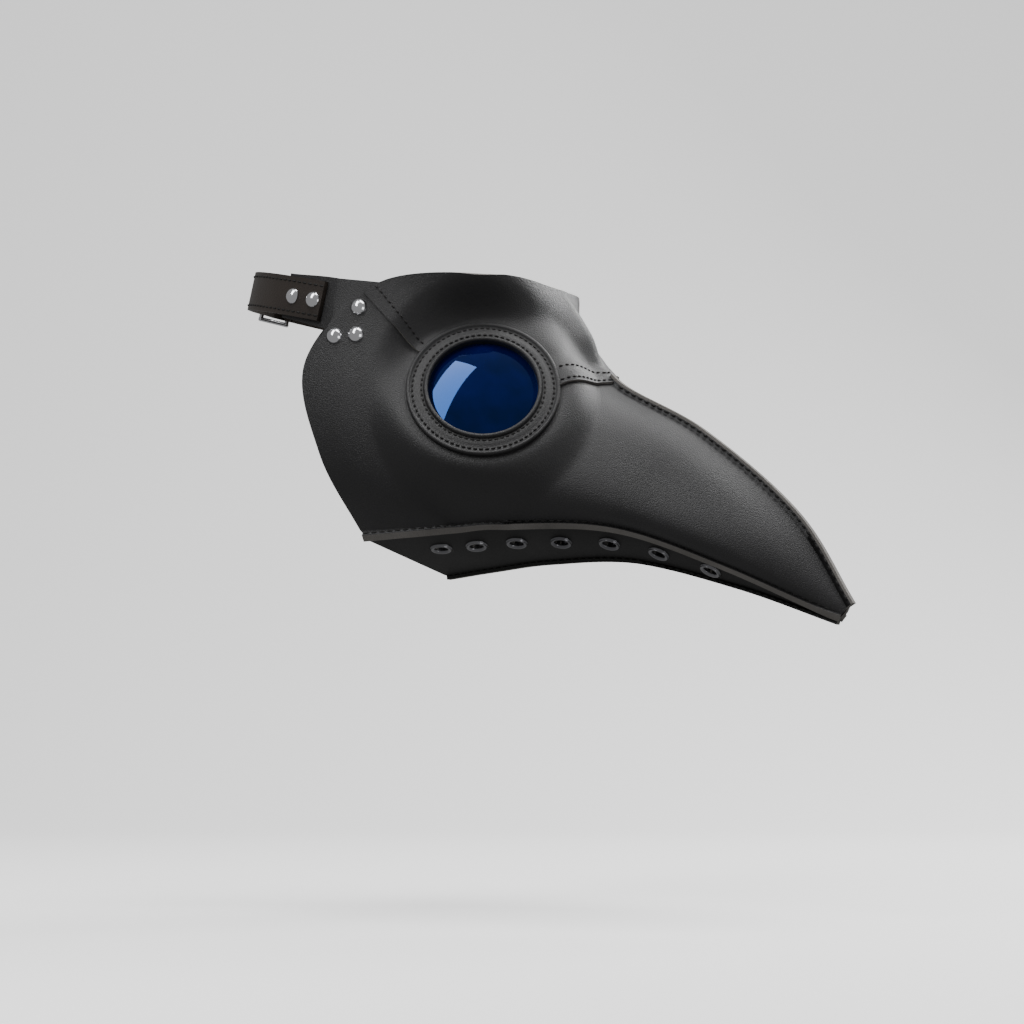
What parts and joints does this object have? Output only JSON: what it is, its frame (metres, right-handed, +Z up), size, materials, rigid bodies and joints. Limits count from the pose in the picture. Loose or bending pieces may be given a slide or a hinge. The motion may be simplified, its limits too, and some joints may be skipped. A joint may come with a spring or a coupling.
{
  "type": "plague doctor mask",
  "caption": "Black leather plague doctor mask with a long hooked beak, round dark blue lenses, vent eyelets and a buckled head strap.",
  "frame": {"origin": "inside the face opening, on the centre plane, 110 mm behind and 25 mm below the nose bridge", "axes": "+X forward along the beak, +Y to the wearer's left, +Z up"},
  "size_m": [0.3388, 0.1654, 0.1976],
  "materials": {
    "shell_leather": "semi-matte pebbled",
    "throat_leather": "matte",
    "strap_leather": "semi-matte",
    "lining_leather": "suede",
    "lens_glass": "polished",
    "frame_plastic": "matte",
    "gunmetal": "dark plated",
    "chrome": "polished"
  },
  "bodies": {
    "mask": {"side_panel_right": "shell_leather", "side_panel_left": "shell_leather", "forehead_panel": "shell_leather", "throat_panel_right": "throat_leather", "throat_panel_left": "throat_leather", "eye_ring_right": "shell_leather", "eye_ring_left": "shell_leather", "lens_right": "lens_glass", "lens_left": "lens_glass", "lens_frame_right": "frame_plastic", "lens_frame_left": "frame_plastic", "vent_eyelets_right": "gunmetal", "vent_eyelets_left": "gunmetal", "vent_washers_right": "gunmetal", "vent_washers_left": "gunmetal", "temple_rivets_right": "chrome", "temple_rivets_left": "chrome", "temple_backing_right": "lining_leather", "temple_backing_left": "lining_leather", "strap_right": "strap_leather", "strap_left": "strap_leather", "strap_rivets_right": "chrome", "strap_rivets_left": "chrome", "buckle_frame": "chrome"},
    "prong": {"buckle_prong": "chrome"},
    "keeper": {"strap_keeper": "strap_leather"}
  },
  "joints": [
    {"name": "prong_hinge", "type": "hinge", "parent": "mask", "child": "prong", "pos_m": [-0.09546, 0.01351, 0.08229], "axis": [-0.2419, 0, -0.9703], "range_deg": [0, 60]},
    {"name": "keeper_slide", "type": "slide", "parent": "mask", "child": "keeper", "axis": [-0.6074, -0.7798, 0.1514], "range_m": [-0.003, 0.003]}
  ]
}
